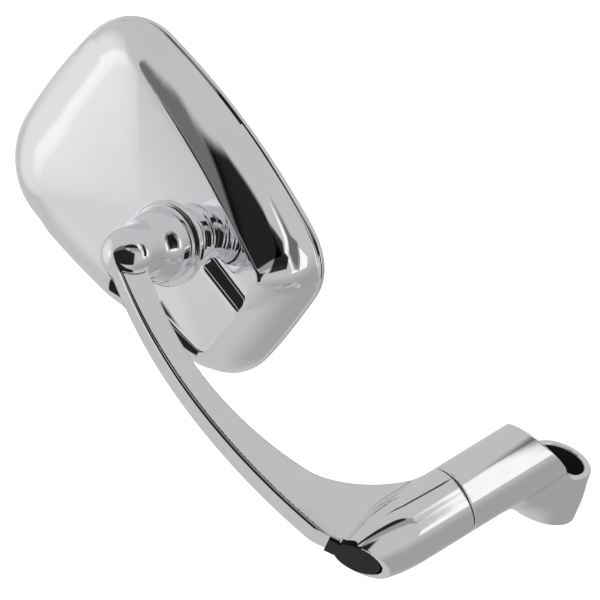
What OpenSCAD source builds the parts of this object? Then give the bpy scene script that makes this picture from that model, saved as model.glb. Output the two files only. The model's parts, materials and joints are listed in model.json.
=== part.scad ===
// Right-hand motorcycle mirror: chromed head on a ball joint, curved cast arm and folding base.
// Origin: centre of the bolt hole on the foot of the eye. +Z up the bolt, +Y forward, +X outboard.

/* [Eye and base] */
// Height of the mounting eye
eye_h = 20.7; // [18:0.1:26]
// Radius of the eye at its top
eye_r = 12.2; // [11.8:0.1:14]
// Extra radius of the eye at its foot
eye_flare = 0.9; // [0:0.1:2]
// Radius of the hole for the fixing bolt
bolt_hole_r = 5.25; // [4.1:0.05:6.5]
// Radius of the recess for the bolt head
recess_r = 9.45; // [8.5:0.05:10]
// Thickness of the eye's floor under the bolt head
eye_floor = 6.7; // [5:0.1:10]
// Height of the barrel's axis above the eye's top, on the bolt's axis
barrel_rise = 15.2; // [14:0.1:18]
// Downward slope of the barrel
barrel_dip = 27.3; // [22:0.1:32]
// Radius of the barrel
barrel_r = 13.3; // [12.8:0.1:15]
// Distance along the barrel from the bolt's axis to the seam
base_len = 56.1; // [52:0.1:70]
// Length of the base barrel from the seam to the middle of its slanted end
base_barrel_len = 38.8; // [34:0.1:41]
// Slant of the base barrel's end, seen from the side
end_slant_side = 19.8; // [0:0.1:25]
// Slant of the base barrel's end, seen from above
end_slant_top = 11; // [0:0.1:15]

/* [Arm] */
// Roll of the arm about the barrel
arm_roll = 21.1; // [0:0.1:40]
// Thickness of the arm's flat bar
arm_t = 11; // [9:0.1:13]
// Radius of the arm's long edges
arm_edge_r = 1.5; // [0.5:0.1:2.5]
// Sideways distance from the barrel's axis to the boss
reach = 141.3; // [120:0.1:160]
// Distance of the boss beyond the seam
boss_out = 43.8; // [38:0.1:48]
// Where the arm's outer edge stands furthest out
crest_x = 82; // [75:0.5:95]
// How far out the outer edge stands there
crest_out = 60.8; // [57:0.1:64]
// Width of the arm at its crest
arm_w = 9.9; // [8:0.1:12]
// Length of the cylindrical stretch of the arm's barrel
bullet_start = 22; // [18:0.5:26]
// Radius of the curve that tapers the arm's barrel
bullet_curve_r = 66; // [60:1:100]
// Distance from the seam to the plug's face on the barrel's axis
plug_at = 44.3; // [42:0.1:50]
// Slant of the plug's face
plug_slant = 30; // [0:0.5:32]

/* [Fold pivot] */
// Visible gap at the seam
seam_gap = 0.4; // [0.3:0.05:1]
// Radius of the pivot stud
stud_r = 4; // [3:0.1:5]
// Depth of the stud in the base
stud_grip = 20; // [14:0.5:24]
// Radial running clearance of the arm on the stud
pivot_fit = 0.06; // [0.02:0.01:0.1]
// Thickness of the nylon thrust washer
thrust_t = 1.8; // [1.2:0.1:2.4]
// Radius of the nylon thrust washer
thrust_r = 10.4; // [9:0.1:11]
// Thickness of the arm's wall that the washers clamp
pivot_wall = 11.5; // [9:0.1:13]
// Radius of the arm's bore behind that wall
cavity_r = 8.6; // [8.2:0.05:9]
// Thickness of the steel friction washer
friction_t = 1.4; // [1:0.1:2]
// Thickness of a disc spring's plate
disc_t = 0.8; // [0.6:0.05:1]
// Cone height of a disc spring
disc_cone = 0.55; // [0.3:0.05:0.8]
// Number of disc springs
disc_count = 4; // [2:1:5]
// Height of the lock nut
nut_h = 7.5; // [6:0.1:8]

/* [Ball joint] */
// Tilt of the boss out of the arm's plane
boss_tilt = 32.7; // [25:0.1:40]
// Radius of the dome on the boss
dome_r = 10.75; // [10:0.05:12]
// Radius of the bell behind the dome
bell_r = 13.6; // [13:0.1:14.5]
// Radius of the boss's flange
flange_r = 16.1; // [15:0.1:18]
// Distance from the dome's centre to the flange's rear face
flange_at = 25; // [24:0.1:27]
// Distance from the flange's rear face to the ball's centre
ball_behind = 8; // [7.5:0.1:8.5]
// Radius of the ball
ball_r = 8; // [7.5:0.05:8.2]
// Thickness of the nylon cups on the ball
cup_t = 1.25; // [1:0.05:1.3]
// Clearance on each side of a cup
cup_fit = 0.05; // [0.03:0.01:0.1]
// Radius of the stud's waist behind the ball
waist_r = 4; // [3:0.1:4.2]
// Radius of the neck sleeve
neck_r = 11.3; // [11.2:0.05:12]
// Clearance between the sleeve's round front and the boss
socket_fit = 0.3; // [0.2:0.05:0.4]
// Visible length of the neck, from the flange's rear face to the head
neck_show = 16; // [15.5:0.1:19]
// Length of the sleeve's spigot inside the head
spigot_len = 11.5; // [11:0.1:11.6]

/* [Head] */
// Roll of the head about the boss's axis
head_roll = 4.9; // [0:0.1:10]
// Sideways place of the ball joint on the head, outboard of its middle
joint_x = -23.8; // [-26:0.1:-20]
// Height of the ball joint on the head, above its middle
joint_z = 10.6; // [8:0.1:13]
// Length of the head on its outboard side
head_out = 64.2; // [60:0.1:70]
// Length of the head on its inboard side
head_in = 69.6; // [66:0.1:76]
// Half height of the head at its outboard corner
head_half_out = 47.9; // [45:0.1:52]
// Half height of the head at its inboard corner
head_half_in = 39.1; // [36:0.1:41]
// Size of the head's outboard corners
corner_out = 27; // [20:0.5:30]
// Size of the head's inboard corners
corner_in = 20; // [16:0.5:24]
// Crown of the head's long edges
side_crown = 3.4; // [2:0.1:5]
// Depth of the back panel on the middle of the head
panel_depth = 17; // [16.5:0.1:18]
// Rise of the back panel towards its inboard end, per millimetre
panel_rise = 0.135; // [0.1:0.005:0.15]
// Crown of the back panel
panel_crown = 1; // [0.5:0.1:2]
// Wall of the head's shell
shell_t = 1.5; // [1.2:0.1:1.8]
// Height of the rim's lip
lip_h = 2.2; // [1.5:0.1:3]
// Step from the rim's lip to the side wall
lip_step = 1; // [0.5:0.1:1.4]
// Depth of the recess beside the neck
relief_depth = 5.5; // [3:0.1:6]
// Height of the neck's foot above the rim's plane
head_depth_at_neck = 20.4; // [20.3:0.1:21.5]

/* [Glass] */
// Thickness of the mirror glass at its middle
glass_t = 2.8; // [2.6:0.1:3]
// Radius of the glass's convex face
glass_curve_r = 1400; // [1000:50:2000]
// Clearance from the rim's wall to the glass's edge
glass_edge = 1.6; // [1.5:0.1:2]
// Thickness of the foam pad
foam_t = 0.8; // [0.6:0.1:1]
// Thickness of the glass carrier
carrier_t = 1.8; // [1.5:0.1:2.2]

/* [Hidden] */
$fn = 64;
eps = 0.01;
far = 200;
seat_gap = 0.05;
thread_fit = 0.02;

// Places along the barrel, from the seam
wall_from = thrust_t + seat_gap;
wall_to = wall_from + pivot_wall;
springs_from = wall_to + seat_gap + friction_t + seat_gap;
disc_pitch = disc_t + disc_cone + 0.02;
nut_from = springs_from + disc_count * disc_pitch + seat_gap;
stud_tip = nut_from + nut_h + 1.5;
washer_r = cavity_r - 0.4;
nut_flats_r = 7.5;
plug_seat_r = 9.2;
plug_cap_t = 2.2;
plug_lip_t = 1.2;

// Places along the boss's axis, from the dome's centre
ball_at = flange_at + ball_behind;
neck_end = flange_at + neck_show;
front_r = sqrt(pow(neck_r, 2) + pow(ball_behind - 0.5, 2));
socket_r = front_r + socket_fit;
cup_in = ball_r + cup_fit;
cup_out = cup_in + cup_t;
seat_r = cup_out + cup_fit;
mouth_angle = 41;
shoulder_r = 6.4;
shank_r = 5;
shank_from = 8.5;
shoulder_at = ball_at - socket_r - 0.1;
neck_grooves = [[-4.6, -1.2], [0.6, 5.4]];
spigot_r = neck_r - 0.4;
spigot_end = neck_end + spigot_len;
rim_at = neck_end + head_depth_at_neck;
nut_r = 15;
neck_nut_h = 3.2;
seat_from = ball_at + 5.8;
seat_h = 5.2;
spring_plate = 0.8;
spring_cone = 0.6;
spring_from = seat_from + seat_h + seat_gap;
spring_h = 2 * (spring_plate + spring_cone) + 0.02;
preload_from = spring_from + spring_h + seat_gap;
nut_at = spigot_len - neck_nut_h - 0.2;
screw_r = 1.5;
screw_head_r = 2.9;
screw_grip = 2.6;
screw_places = [[44, 26], [44, -26], [-46, 18], [-46, -18]];
pillar_r = 3.5;
rib_places = [-22, 0, 22];
rib_h = 1.5;

// Depth planes of the head, above the rim's plane
ball_y = rim_at - ball_at;
neck_y = rim_at - neck_end;
glass_y = 0.2;
carrier_y = glass_y + glass_t + foam_t + 2 * seat_gap;

// Insets from the rim's outline
glass_inset = shell_t + glass_edge;
carrier_inset = glass_inset + 2.4;
carrier_short = 3;
seal_lip = 1.6;

function lerp(a, b, s) = a + (b - a) * s;

// Point at s on a curve with four control points
function bez(p, s) =
    pow(1 - s, 3) * p[0] + 3 * s * pow(1 - s, 2) * p[1]
    + 3 * s * s * (1 - s) * p[2] + pow(s, 3) * p[3];

// Frames that carry each group of pieces
module in_barrel() {
    translate([0, 0, eye_h + barrel_rise]) rotate([-barrel_dip, 0, 0])
        translate([0, base_len, 0]) children();
}

module on_barrel(at = 0) {
    in_barrel() translate([0, at, 0]) rotate([-90, 0, 0]) children();
}

module in_arm() {
    in_barrel() rotate([0, -arm_roll, 0]) children();
}

module in_boss(at = 0) {
    in_arm() translate([reach, boss_out, 0]) rotate([90 + boss_tilt, 0, 0])
        translate([0, 0, at]) children();
}

module in_head() {
    in_boss(ball_at) rotate([0, 0, -head_roll]) rotate([-90, 0, 0])
        translate([-joint_x, -ball_y, -joint_z]) children();
}

module on_joint(y) {
    translate([joint_x, y, joint_z]) rotate([90, 0, 0]) children();
}

// Flat ring
module ring(r_out, r_in, h) {
    difference() {
        cylinder(r = r_out, h = h);
        translate([0, 0, -1]) cylinder(r = r_in, h = h + 2);
    }
}

// Base: eye, barrel and the cast fillet between them
module beyond_end(shift = 0) {
    in_barrel() translate([0, -base_barrel_len - shift, 0])
        rotate([-end_slant_side, 0, end_slant_top])
            translate([-far / 2, -far, -far / 2]) cube([far, far, far]);
}

module eye_fillet() {
    hull() {
        translate([0, 0, 1.5]) cylinder(r = eye_r - 0.1, h = eye_h - 5, $fn = 40);
        in_barrel() translate([0, -16, -5]) rotate([-90, 0, 0])
            cylinder(r = barrel_r - 5.1, h = 2, $fn = 40);
    }
}

module base_casting() {
    color("silver") difference() {
        union() {
            cylinder(r1 = eye_r + eye_flare, r2 = eye_r, h = eye_h);
            difference() {
                on_barrel(-base_len) cylinder(r = barrel_r, h = base_len);
                beyond_end();
            }
            eye_fillet();
        }
        translate([0, 0, -1]) cylinder(r = bolt_hole_r, h = eye_floor + 2);
        translate([0, 0, eye_floor]) cylinder(r = recess_r, h = far);
        on_barrel(-stud_grip) cylinder(r = stud_r + thread_fit, h = stud_grip + 1);
    }
}

// Fold pivot
module pivot_stud() {
    color("dimgray") on_barrel(-stud_grip + 0.5) {
        cylinder(r = stud_r, h = stud_tip + stud_grip - 1.5);
        translate([0, 0, stud_tip + stud_grip - 1.5]) cylinder(r1 = stud_r, r2 = stud_r - 0.8, h = 1);
    }
}

module thrust_washer() {
    color("ivory") on_barrel() ring(thrust_r, stud_r + 0.1, thrust_t);
}

module friction_washer() {
    color("gray") on_barrel(wall_to + seat_gap) ring(washer_r, stud_r + 0.1, friction_t);
}

module disc_spring() {
    rotate_extrude()
        polygon([[stud_r + 0.2, 0], [washer_r - 0.3, disc_cone],
                 [washer_r - 0.3, disc_cone + disc_t], [stud_r + 0.2, disc_t]]);
}

module disc_springs() {
    color("slategray") for (i = [0 : disc_count - 1])
        on_barrel(springs_from + i * disc_pitch)
            if (i % 2 == 0) disc_spring();
            else translate([0, 0, disc_t + disc_cone]) mirror([0, 0, 1]) disc_spring();
}

module lock_nut() {
    color("gainsboro") on_barrel(nut_from) difference() {
        cylinder(r = nut_flats_r, h = nut_h, $fn = 6);
        translate([0, 0, -1]) cylinder(r = stud_r + thread_fit, h = nut_h + 2);
    }
}

// Arm: outer and inner edge of the bar, from the boss (s = 0) to the barrel (s = 1)
inner_crest_x = crest_x + 6;
inner_r = 125;
outer_r_boss = 200;
outer_r_barrel = 265;
bar_from = reach - 5;
bar_mid = 37;

function outer_t(x) =
    crest_out - pow(x - crest_x, 2) / (2 * (x > crest_x ? outer_r_boss : outer_r_barrel));

function inner_t(x) = crest_out - arm_w + 0.3 - pow(x - inner_crest_x, 2) / (2 * inner_r);

web_top = [bar_mid, inner_t(bar_mid)];
web_foot = [barrel_r - 2, 1.2];

function outer_point(s) =
    let (x = s < 0.6 ? lerp(bar_from + 4, bar_mid + 8, s / 0.6) : lerp(bar_mid + 8, 2, (s - 0.6) / 0.4))
    [x, outer_t(x)];

function inner_point(s) =
    s < 0.6
        ? let (x = lerp(bar_from - 3, bar_mid, s / 0.6)) [x, inner_t(x)]
        : bez([web_top, web_top + [-10, -4.2], [barrel_r + 0.3, 20], web_foot], (s - 0.6) / 0.4);

// Section across the bar at s, with rounded outer edges
function bar_section(s) =
    let (o = outer_point(s), i = inner_point(s), d = (o - i) / norm(o - i), h = arm_t / 2,
         r = arm_edge_r, c = o - r * d, ci = i + 0.4 * d)
    concat(
        [for (a = [0 : 22.5 : 90]) [c[0] + r * d[0] * sin(a), c[1] + r * d[1] * sin(a), h - r + r * cos(a)]],
        [for (a = [90 : 22.5 : 180]) [c[0] + r * d[0] * sin(a), c[1] + r * d[1] * sin(a), r - h + r * cos(a)]],
        [[ci[0], ci[1], -h], [i[0], i[1], 0.4 - h], [i[0], i[1], h - 0.4], [ci[0], ci[1], h]]);

// Skin through a list of closed sections
module skin(rows) {
    n = len(rows[0]);
    m = len(rows);
    polyhedron(
        points = [for (row = rows) each row],
        faces = concat(
            [[for (j = [0 : n - 1]) j]],
            [for (k = [0 : m - 2], j = [0 : n - 1])
                [k * n + j, (k + 1) * n + j, (k + 1) * n + (j + 1) % n, k * n + (j + 1) % n]],
            [[for (j = [n - 1 : -1 : 0]) (m - 1) * n + j]]),
        convexity = 6);
}

module bar() {
    steps = 36;
    skin([for (k = [0 : steps]) bar_section(k / steps)]);
}

function bullet_r(t) =
    barrel_r - (t > bullet_start ? pow(t - bullet_start, 2) / (2 * bullet_curve_r) : 0);

module bullet() {
    tip = plug_at + 10;
    rotate([-90, 0, 0]) rotate_extrude()
        polygon(concat([[0, seam_gap], [barrel_r, seam_gap], [barrel_r, bullet_start]],
                       [for (k = [1 : 10]) let (t = lerp(bullet_start, tip, k / 10)) [bullet_r(t), t]],
                       [[0, tip]]));
}

// Boss: dome, bell and flange, turned about the ball joint's axis
module boss() {
    flange_t = 3.2;
    sphere(r = dome_r);
    rotate_extrude()
        polygon(concat(
            [[0, 0], [dome_r, 0], [dome_r, 6.5]],
            [for (k = [1 : 8])
                let (s = k / 8) [lerp(dome_r, bell_r, s * s * (3 - 2 * s)), lerp(6.5, 15.5, s)]],
            [[bell_r + 0.3, flange_at - flange_t - 0.9], [bell_r + 0.9, flange_at - flange_t - 0.4],
             [flange_r - 0.9, flange_at - flange_t], [flange_r, flange_at - flange_t + 0.9],
             [flange_r, flange_at - 0.5], [flange_r - 0.5, flange_at], [0, flange_at]]));
}

module beyond_plug(shift = 0) {
    translate([0, plug_at, 0]) rotate([0, 0, plug_slant])
        translate([-far / 2, shift, -far / 2]) cube([far, far, far]);
}

module arm_casting() {
    color("silver") difference() {
        union() {
            in_arm() difference() {
                union() {
                    bullet();
                    bar();
                }
                beyond_plug();
            }
            in_boss() boss();
        }
        // Plug seat in the slanted face
        in_arm() translate([0, plug_at, 0]) rotate([0, 0, plug_slant]) {
            rotate([90, 0, 0]) cylinder(r = plug_seat_r, h = plug_cap_t);
            translate([plug_seat_r - 1, -plug_lip_t, -far / 2]) cube([far, far, far]);
        }
        // Seam recess, pivot bore and the cavity for the nut
        on_barrel(-1) cylinder(r = thrust_r + 0.1, h = wall_from + 1);
        on_barrel() cylinder(r = stud_r + pivot_fit, h = wall_to + 1);
        on_barrel(wall_to) cylinder(r = cavity_r, h = far / 4);
        // Round socket, stud seat and stud hole
        in_boss(ball_at) sphere(r = socket_r);
        in_boss(shoulder_at) cylinder(r = shoulder_r + 0.1, h = 4);
        in_boss(shank_from - 0.5) cylinder(r = shank_r + thread_fit, h = 14);
    }
}

module end_plug() {
    fit = 0.03;
    color("black") {
        in_arm() translate([0, plug_at, 0]) rotate([0, 0, plug_slant]) {
            rotate([90, 0, 0]) cylinder(r = plug_seat_r - fit, h = plug_cap_t - fit);
            translate([plug_seat_r - 1, -plug_lip_t + fit, -arm_t / 2 + 0.6])
                cube([4, plug_lip_t - fit, arm_t - 1.2]);
        }
        difference() {
            on_barrel(plug_at - 8) cylinder(r = cavity_r - fit, h = 20);
            in_arm() beyond_plug(-plug_cap_t + fit + eps);
        }
    }
}

// Ball joint
module ball_stud() {
    color("lightsteelblue") in_boss() {
        translate([0, 0, ball_at]) sphere(r = ball_r);
        translate([0, 0, shoulder_at]) cylinder(r = waist_r, h = ball_at - shoulder_at);
        translate([0, 0, shoulder_at + seat_gap / 2]) cylinder(r = shoulder_r, h = 1.5);
        translate([0, 0, shank_from]) cylinder(r = shank_r, h = shoulder_at - shank_from + 0.5);
    }
}

// Shell between two spheres, from one angle to another off the arm's side
module cup(from, to) {
    function arc(r, a, b) = [for (k = [0 : 12]) let (t = lerp(a, b, k / 12)) [r * sin(t), -r * cos(t)]];
    in_boss(ball_at) rotate_extrude()
        polygon(concat(arc(cup_in, from, to), arc(cup_out, to, from)));
}

module front_cup() {
    color("ivory") cup(42, 84);
}

module rear_cup() {
    color("ivory") cup(96.5, 166);
}

module neck_sleeve() {
    lip_angle = asin(neck_r / front_r);
    color("silver") in_boss(ball_at) rotate_extrude()
        polygon(concat(
            [for (k = [12 : -1 : 0])
                let (t = lerp(mouth_angle, 90, k / 12)) [seat_r * sin(t), -seat_r * cos(t)]],
            [for (k = [0 : 10])
                let (t = lerp(mouth_angle, lip_angle, k / 10)) [front_r * sin(t), -front_r * cos(t)]],
            [for (g = neck_grooves)
                each [[neck_r, g[0]], [neck_r - 1, g[0] + 0.5], [neck_r - 1, g[1] - 0.5], [neck_r, g[1]]]],
            [[neck_r, neck_end - ball_at], [spigot_r, neck_end - ball_at],
             [spigot_r, spigot_end - ball_at], [seat_r, spigot_end - ball_at]]));
}

module spring_seat() {
    color("gray") difference() {
        in_boss(seat_from) cylinder(r = seat_r - 0.1, h = seat_h);
        in_boss(ball_at) sphere(r = seat_r);
    }
}

module preload_disc() {
    r1 = waist_r + 0.2;
    r2 = seat_r - 0.5;
    rotate_extrude()
        polygon([[r1, 0], [r2, spring_cone], [r2, spring_cone + spring_plate], [r1, spring_plate]]);
}

module preload_spring() {
    color("slategray") in_boss(spring_from) {
        preload_disc();
        translate([0, 0, spring_h]) mirror([0, 0, 1]) preload_disc();
    }
}

module preload_nut() {
    color("gainsboro") in_boss(preload_from) difference() {
        cylinder(r = seat_r - thread_fit, h = 3.5);
        translate([0, 0, -1]) cylinder(r = 4, h = 6, $fn = 6);
    }
}

module neck_nut() {
    color("gray") in_boss(neck_end + nut_at) difference() {
        cylinder(r = nut_r, h = neck_nut_h, $fn = 8);
        translate([0, 0, -1]) cylinder(r = spigot_r + thread_fit, h = 6);
    }
}

// Head outline: half of it from the inboard end over the top to the outboard end.
// v = [outboard reach, inboard reach, half height out, half height in, corner out, corner in,
//      crown of the long edge, bow of the short ends]
function half_outline(v) =
    let (xo = v[0], xi = -v[1], ho = v[2], hi = v[3], co = v[4], ci = v[5], w = v[6], bow = v[7],
         a = [xi + bow / 2, hi - ci], b = [xi + ci, hi], c = [xo - co, ho], d = [xo - bow, ho - co],
         run = c[0] - b[0], slope = (ho - hi) / run, bend = 4 * w / run, k1 = 0.55)
    concat(
        [[xi, 0], [xi + bow / 8, a[1] / 2]],
        [for (k = [0 : 6])
            bez([a, a + k1 * ci * [bow / a[1], 1], b - k1 * ci * [1, slope + bend], b], k / 6)],
        [for (k = [1 : 7])
            let (s = k / 8) [lerp(b[0], c[0], s), lerp(hi, ho, s) + 4 * w * s * (1 - s)]],
        [for (k = [0 : 6])
            bez([c, c + k1 * co * [1, slope - bend], d + k1 * co * [-2 * bow / d[1], 1], d], k / 6)],
        [[xo - bow / 4, d[1] / 2]]);

// The lower inboard corner is rounder than the upper one
function outline(v) =
    let (h = half_outline(v), low = half_outline(v + v[5] * [0, 0, 0, 0, 0, 0.3, 0, 0]), n = len(h))
    concat(h, [[v[0], 0]], [for (k = [n - 1 : -1 : 1]) [low[k][0], -low[k][1]]]);

function pulled_in(v, inset) = v - inset * [1, 1, 1, 1, 0.5, 0.5, 0, 0];

rim = [head_out, head_in, head_half_out, head_half_in, corner_out, corner_in, side_crown, 1];
crease = [head_out - 9, head_in - 13.2, head_half_out - 7.3, head_half_in - 16, 14, 4, 0, 0.3];

// Height of the back panel above the rim's plane, d lower
function panel_y(x, d) = panel_depth - d - panel_rise * x;

// One row of points: outline v pulled in by inset, at share f of the panel's height
function head_row(v, inset, f, low, d) =
    [for (p = outline(pulled_in(v, inset)))
        [p[0], low + (panel_y(p[0], d) - low) * f, p[1]]];

// Solid of the head's outer form (grow = 0) or of its inside (grow < 0), with panel d lower
module head_form(grow, d) {
    t = -grow;
    skin(concat(
        [head_row(rim, t, 0, grow < 0 ? -1 : 0, d)],
        [head_row(rim, t, 0, lip_h, d)],
        grow < 0 ? [] : [head_row(rim, lip_step, 0, lip_h + 0.4, d)],
        [for (s = [0.25, 0.5, 0.75])
            head_row(lerp(rim, crease, 0.2 * s + 0.8 * pow(s, 2.2)), t + lip_step * (1 - s), s, lip_h, d + t)],
        [head_row(crease, t, 1, lip_h, d + t)],
        [head_row(crease * 0.6, t, 1, lip_h, d + t - panel_crown * 0.64)],
        [head_row(crease * 0.2, t * 0.5, 1, lip_h, d + t - panel_crown)]));
}

// Plan of the lower inboard recess in the back
module relief(grow, d) {
    x1 = 12;
    difference() {
        rotate([-90, 0, 0]) translate([0, 0, lip_h])
            linear_extrude(height = 60)
                polygon([[-x1 - grow, -joint_z + 1.3 - grow], [-58, -9 - grow], [-70, -27 - grow],
                         [-90, -27 - grow], [-90, 60], [-x1 - grow, 60]]);
        head_form(-grow, d);
    }
}

module head_body(t) {
    difference() {
        head_form(-t, 0);
        relief(t, relief_depth);
    }
}

module head_housing() {
    pad_r = neck_r + 0.5;
    color("silver") in_head() difference() {
        union() {
            difference() {
                union() {
                    head_body(0);
                    on_joint(neck_y) cylinder(r = pad_r, h = nut_at - seat_gap);
                }
                difference() {
                    head_body(shell_t);
                    on_joint(neck_y) cylinder(r = nut_r + 0.5, h = nut_at - seat_gap);
                }
            }
            intersection() {
                head_body(0);
                for (p = screw_places)
                    translate([p[0], carrier_y + carrier_t + seat_gap, p[1]])
                        rotate([-90, 0, 0]) cylinder(r = pillar_r, h = panel_depth * 2);
            }
        }
        on_joint(neck_y + 5) cylinder(r = neck_r + seat_gap, h = 5);
        on_joint(neck_y + 1) cylinder(r = spigot_r + seat_gap, h = 20);
        for (p = screw_places)
            translate([p[0], carrier_y + carrier_t - 1, p[1]])
                rotate([-90, 0, 0]) cylinder(r = screw_r + thread_fit, h = 1.3 + screw_grip);
    }
}

// Flat sheet with the head's outline, from one depth to another, cut short at its outboard end
module sheet(inset, from, to, short = 0) {
    translate([0, to, 0]) rotate([90, 0, 0]) linear_extrude(height = to - from)
        polygon(outline(pulled_in(rim, inset) - [short, 0, 0, 0, 0, 0, 0, 0]));
}

module glass_carrier() {
    color("dimgray") in_head() difference() {
        union() {
            sheet(carrier_inset, carrier_y, carrier_y + carrier_t, carrier_short);
            for (z = rib_places)
                translate([-30, carrier_y + carrier_t - eps, z]) cube([56, rib_h, 1.6]);
        }
        for (p = screw_places)
            translate([p[0], carrier_y - 1, p[1]]) rotate([-90, 0, 0]) {
                cylinder(r = screw_r + 0.3, h = carrier_t + 3);
                cylinder(r = screw_head_r + 0.3, h = 2.1);
            }
    }
}

module carrier_screws() {
    color("gainsboro") in_head() for (p = screw_places)
        translate([p[0], carrier_y, p[1]]) rotate([-90, 0, 0]) {
            translate([0, 0, 0.1]) cylinder(r = screw_head_r, h = 0.95);
            translate([0, 0, 0.1]) cylinder(r = screw_r, h = carrier_t + screw_grip);
        }
}

module foam_pad() {
    color("black") in_head()
        sheet(carrier_inset + 1.5, glass_y + glass_t + seat_gap, carrier_y - seat_gap, carrier_short);
}

// Height of the glass's convex face at distance r from its middle
function glass_face(r) = glass_y + pow(r, 2) / (2 * glass_curve_r);

module mirror_glass() {
    color("lightblue") in_head() intersection() {
        sheet(glass_inset, glass_y, glass_y + glass_t);
        rotate([-90, 0, 0]) rotate_extrude($fn = 96)
            polygon(concat([[0, 20]], [for (r = [0 : 10 : 90]) [r, glass_face(r)]], [[90, 20]]));
    }
}

module rim_seal() {
    color("black") in_head() difference() {
        sheet(shell_t + seat_gap, 0, lip_h);
        sheet(glass_inset - seat_gap, glass_y - seat_gap, carrier_y);
        sheet(glass_inset + seal_lip, -1, carrier_y);
    }
}

base_casting();
pivot_stud();
thrust_washer();
friction_washer();
disc_springs();
lock_nut();
arm_casting();
end_plug();
ball_stud();
front_cup();
rear_cup();
neck_sleeve();
spring_seat();
preload_spring();
preload_nut();
neck_nut();
head_housing();
glass_carrier();
carrier_screws();
foam_pad();
mirror_glass();
rim_seal();
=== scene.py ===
"""Right-hand motorcycle mirror: chromed head on a ball joint, curved cast arm and folding base."""

import json
import math

import bmesh
import bpy
import numpy as np
from mathutils import Matrix, Vector


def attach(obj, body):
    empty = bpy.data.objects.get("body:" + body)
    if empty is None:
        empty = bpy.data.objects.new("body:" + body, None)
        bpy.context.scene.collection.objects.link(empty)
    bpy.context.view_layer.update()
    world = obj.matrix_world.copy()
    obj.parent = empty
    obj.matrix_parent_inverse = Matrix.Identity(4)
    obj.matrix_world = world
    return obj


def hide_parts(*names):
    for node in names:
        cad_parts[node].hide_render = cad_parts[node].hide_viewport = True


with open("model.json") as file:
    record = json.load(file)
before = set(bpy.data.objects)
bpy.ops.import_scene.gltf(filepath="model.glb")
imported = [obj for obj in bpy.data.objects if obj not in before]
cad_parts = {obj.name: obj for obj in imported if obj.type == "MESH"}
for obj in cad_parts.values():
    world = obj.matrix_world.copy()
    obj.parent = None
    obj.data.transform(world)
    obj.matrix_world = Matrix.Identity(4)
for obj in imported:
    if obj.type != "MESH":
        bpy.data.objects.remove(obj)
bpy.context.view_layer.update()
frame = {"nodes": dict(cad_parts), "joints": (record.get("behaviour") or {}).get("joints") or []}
bpy.ops.object.select_all(action="DESELECT")

# Sizes are in millimetres, in each piece's own frame. Places come from the joints.
MM = 0.001

# Roll of the arm about its barrel in degrees, and how far out the boss stands along it
ARM_ROLL, REACH = 21.1, 141.3

# The ball: its distance from the dome's centre, and its height over the rim's plane
BALL_AT, BALL_Y = 33.0, 28.4

# Where the neck meets the head's back
JOINT_X, JOINT_Z = -23.8, 10.6

joints = {joint["name"]: joint for joint in frame["joints"]}


def place(origin, x, y, z):
    """Matrix from a piece's own millimetres to the row's metres."""
    return Matrix.Translation(origin) @ Matrix((x, y, z)).transposed().to_4x4() @ Matrix.Scale(MM, 4)


row_x = Vector((1, 0, 0))
barrel_y = Vector(joints["arm_fold"]["axis"]).normalized()
seam = Vector(joints["arm_fold"]["pos_m"])
BARREL = place(seam, row_x, barrel_y, row_x.cross(barrel_y))
ARM = BARREL @ Matrix.Rotation(math.radians(-ARM_ROLL), 4, "Y")

ball = Vector(joints["head_pan"]["pos_m"])
head_x = Vector(joints["head_tilt"]["axis"]).normalized()
head_y = Vector(joints["head_spin"]["axis"]).normalized()
head_z = head_x.cross(head_y)
HEAD = place(ball - MM * (JOINT_X * head_x + BALL_Y * head_y + JOINT_Z * head_z), head_x, head_y, head_z)
BOSS = place(ball + MM * BALL_AT * head_y, head_x, head_z, -head_y)


# Modelling

# Points of a loft that lie closer than this become one
WELD = 0.002


def pick(piece):
    """The piece becomes the one selected and active object."""
    bpy.ops.object.select_all(action="DESELECT")
    piece.select_set(True)
    bpy.context.view_layer.objects.active = piece


def apply_modifier(piece, kind, **settings):
    pick(piece)
    made = piece.modifiers.new(kind.lower(), kind)
    for key, value in settings.items():
        setattr(made, key, value)
    bpy.ops.object.modifier_apply(modifier=made.name)


def loft(name, rings, matrix, capped=True):
    """A circle set on the first ring, then extruded and set on each next one."""
    bpy.ops.object.select_all(action="DESELECT")
    fill = "NGON" if capped else "NOTHING"
    bpy.ops.mesh.primitive_circle_add(vertices=len(rings[0]), radius=1, fill_type=fill)
    piece = bpy.context.object
    piece.name = piece.data.name = name
    bpy.ops.object.mode_set(mode="EDIT")
    mesh = bmesh.from_edit_mesh(piece.data)
    ring = list(mesh.verts)
    for vert, point in zip(ring, rings[0]):
        vert.co = point
    for points in rings[1:]:
        bpy.ops.mesh.extrude_region_move()
        mesh = bmesh.from_edit_mesh(piece.data)
        ring = [next(e.other_vert(v) for e in v.link_edges if e.other_vert(v).select) for v in ring]
        for vert, point in zip(ring, points):
            vert.co = point
    bpy.ops.mesh.select_all(action="SELECT")
    bpy.ops.mesh.remove_doubles(threshold=WELD)
    bpy.ops.mesh.normals_make_consistent(inside=False)
    bpy.ops.object.mode_set(mode="OBJECT")
    piece.data.transform(matrix)
    piece.data.shade_smooth()
    return piece


def turned(name, profile, matrix, steps=128, capped=True):
    """A profile of (radius, height) points, turned about the frame's Z axis."""
    turn = [2 * math.pi * k / steps for k in range(steps)]
    rings = [[(r * math.cos(a), r * math.sin(a), z) for a in turn] for r, z in profile]
    return loft(name, rings, matrix, capped)


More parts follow.
